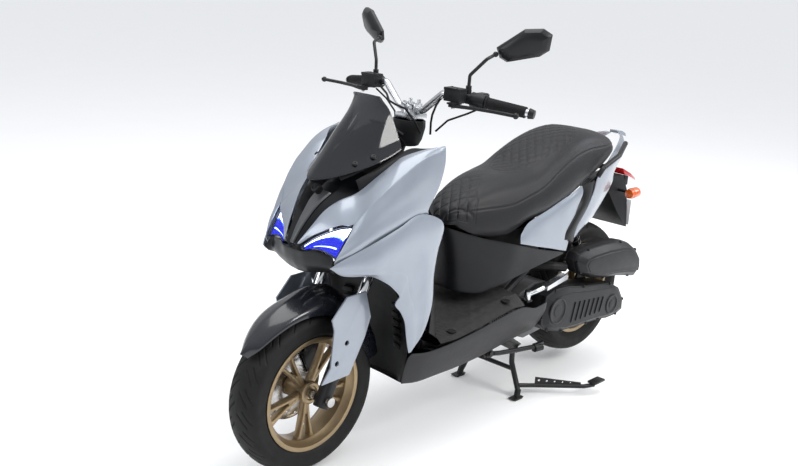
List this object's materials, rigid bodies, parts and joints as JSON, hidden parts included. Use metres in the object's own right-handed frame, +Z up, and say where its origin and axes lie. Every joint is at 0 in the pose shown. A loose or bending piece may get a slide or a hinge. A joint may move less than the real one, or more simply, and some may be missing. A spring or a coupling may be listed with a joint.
{
  "type": "moped scooter",
  "caption": "Step-through moped scooter with faired nose, quilted seat, swinging engine unit and cast wheels, standing on its centre stand.",
  "frame": {"origin": "centre of the bounding box in plan, on the ground", "axes": "+X forward, +Y to the rider's left, +Z up"},
  "size_m": [1.933, 0.7884, 1.2989],
  "materials": {
    "tyre": "matt rubber",
    "bronze": "satin bronze",
    "disc": "brushed",
    "fork": "satin black",
    "chrome": "polished",
    "silver": "satin",
    "grey_gloss": "gloss",
    "black_gloss": "gloss",
    "black_plastic": "satin",
    "smoke": "clear smoked",
    "lens": "clear",
    "lamp": "lamp inside with light blades",
    "red_lens": "clear red",
    "amber_lens": "clear amber",
    "rubber": "matt",
    "steel_black": "satin black",
    "seat": "quilted cover over foam",
    "engine": "black paint over casting",
    "spring": "satin"
  },
  "bodies": {
    "frame": {"frame": "steel_black", "upper_cowls": "grey_gloss", "side_wings": "grey_gloss", "nose_panel": "black_gloss", "lamp_covers": "lens", "lamp_units": "lamp", "windscreen": "smoke", "dash_panels": "black_plastic", "leg_shield": "black_plastic", "inner_liners": "black_plastic", "floorboard": "black_plastic", "lower_skirts": "black_plastic", "underseat_cover": "black_plastic", "side_panels": "grey_gloss", "boomerang_trims": "black_plastic", "tail_panels": "grey_gloss", "storage_bucket": "black_plastic", "grab_rails": "fork", "tail_light": "red_lens", "plate_carrier": "black_plastic", "turn_signals": "amber_lens", "fuel_tank": "steel_black"},
    "steering": {"fork_uppers": "chrome", "handlebar": "silver", "stem_cover": "black_plastic", "grip_left": "rubber", "switch_housings": "black_plastic", "master_cylinders": "fork", "control_hoses": "rubber", "mirror_stems": "fork"},
    "throttle": {"throttle_grip": "rubber"},
    "lever_l": {"lever_left": "silver"},
    "lever_r": {"lever_right": "silver"},
    "starter": {"start_button": "red_lens"},
    "mirror_l": {"mirror_left": "black_plastic"},
    "mirror_r": {"mirror_right": "black_plastic"},
    "fork": {"fork_lowers": "fork", "front_caliper": "fork", "fork_covers": "grey_gloss", "front_fender": "black_gloss"},
    "front_wheel": {"front_tyre": "tyre", "front_rim": "bronze", "front_disc": "disc"},
    "engine": {"engine_case": "engine", "cvt_cover": "black_plastic", "airbox": "black_plastic", "exhaust": "steel_black"},
    "rear_wheel": {"rear_tyre": "tyre", "rear_rim": "bronze"},
    "shock_top": {"shock_uppers": "fork", "shock_springs": "spring"},
    "shock_bottom": {"shock_lowers": "chrome"},
    "seat": {"seat_cushion": "seat", "seat_pan": "black_plastic"},
    "stand_centre": {"centre_stand": "steel_black"},
    "stand_side": {"side_stand": "steel_black"},
    "peg_l": {"passenger_peg_l": "silver"},
    "peg_r": {"passenger_peg_r": "silver"},
    "key": {"ignition_key": "steel_black"}
  },
  "joints": [
    {"name": "steering_turn", "type": "hinge", "parent": "frame", "child": "steering", "pos_m": [0.688, 0, 0.243], "axis": [-0.4305, 0, 0.9026], "range_deg": [-38, 38]},
    {"name": "fork_travel", "type": "slide", "parent": "steering", "child": "fork", "axis": [-0.4305, 0, 0.9026], "range_m": [0, 0.06], "stiffness_N_per_m": 9000, "springref_m": -0.06},
    {"name": "front_wheel_spin", "type": "hinge", "parent": "fork", "child": "front_wheel", "pos_m": [0.7235, 0, 0.243], "axis": [0, 1, 0], "continuous": true},
    {"name": "throttle_twist", "type": "hinge", "parent": "steering", "child": "throttle", "pos_m": [0.27396, -0.23772, 1.08247], "axis": [-0.3324, -0.9353, -0.1214], "range_deg": [0, 75], "stiffness_Nm_per_rad": 0.25, "springref_deg": -17.19},
    {"name": "left_lever_squeeze", "type": "hinge", "parent": "steering", "child": "lever_l", "pos_m": [0.35155, 0.1817, 1.07461], "axis": [0, 0, 1], "range_deg": [0, 16], "stiffness_Nm_per_rad": 3, "springref_deg": -14.32},
    {"name": "right_lever_squeeze", "type": "hinge", "parent": "steering", "child": "lever_r", "pos_m": [0.35155, -0.1817, 1.07461], "axis": [0, 0, -1], "range_deg": [0, 16], "stiffness_Nm_per_rad": 3, "springref_deg": -14.32},
    {"name": "start_press", "type": "slide", "parent": "steering", "child": "starter", "axis": [1, 0, 0], "range_m": [0, 0.003], "stiffness_N_per_m": 600, "springref_m": -0.001},
    {"name": "left_mirror_swivel", "type": "hinge", "parent": "steering", "child": "mirror_l", "pos_m": [0.2395, 0.232, 1.217], "axis": [0, 0, 1], "range_deg": [-12, 12]},
    {"name": "right_mirror_swivel", "type": "hinge", "parent": "steering", "child": "mirror_r", "pos_m": [0.2395, -0.232, 1.217], "axis": [0, 0, 1], "range_deg": [-12, 12]},
    {"name": "engine_swing", "type": "hinge", "parent": "frame", "child": "engine", "pos_m": [-0.1545, 0, 0.334], "axis": [0, 1, 0], "range_deg": [0, 3.1], "stiffness_Nm_per_rad": 3000, "springref_deg": -2.86},
    {"name": "rear_wheel_spin", "type": "hinge", "parent": "engine", "child": "rear_wheel", "pos_m": [-0.6105, 0, 0.292], "axis": [0, 1, 0], "continuous": true},
    {"name": "shock_top_turn", "type": "hinge", "parent": "frame", "child": "shock_top", "pos_m": [-0.4315, 0, 0.592], "axis": [0, 1, 0], "range_deg": [0, 2.3], "deforming": ["shock_springs"]},
    {"name": "shock_bottom_turn", "type": "hinge", "parent": "engine", "child": "shock_bottom", "pos_m": [-0.5665, 0, 0.376], "axis": [0, 1, 0], "range_deg": [-0.9, 0]},
    {"name": "seat_open", "type": "hinge", "parent": "frame", "child": "seat", "pos_m": [0.1515, 0, 0.64], "axis": [0, 1, 0], "range_deg": [0, 55]},
    {"name": "centre_stand_fold", "type": "hinge", "parent": "frame", "child": "stand_centre", "pos_m": [-0.1745, 0, 0.18], "axis": [0, 1, 0], "range_deg": [0, 60]},
    {"name": "side_stand_fold", "type": "hinge", "parent": "frame", "child": "stand_side", "pos_m": [0.0175, 0.132, 0.214], "axis": [0, -1, 0], "range_deg": [0, 85]},
    {"name": "left_peg_fold", "type": "hinge", "parent": "frame", "child": "peg_l", "pos_m": [-0.1105, 0.172, 0.402], "axis": [0, 0, -1], "range_deg": [0, 75]},
    {"name": "right_peg_fold", "type": "hinge", "parent": "frame", "child": "peg_r", "pos_m": [-0.1105, -0.172, 0.402], "axis": [0, 0, 1], "range_deg": [0, 75]},
    {"name": "key_turn", "type": "hinge", "parent": "frame", "child": "key", "pos_m": [0.2735, -0.074, 0.8], "axis": [1, 0, 0], "range_deg": [0, 90]}
  ],
  "couplings": [
    {"joint": "shock_top_turn", "follows": "engine_swing", "ratio": 0.7174},
    {"joint": "shock_bottom_turn", "follows": "engine_swing", "ratio": -0.2826}
  ]
}
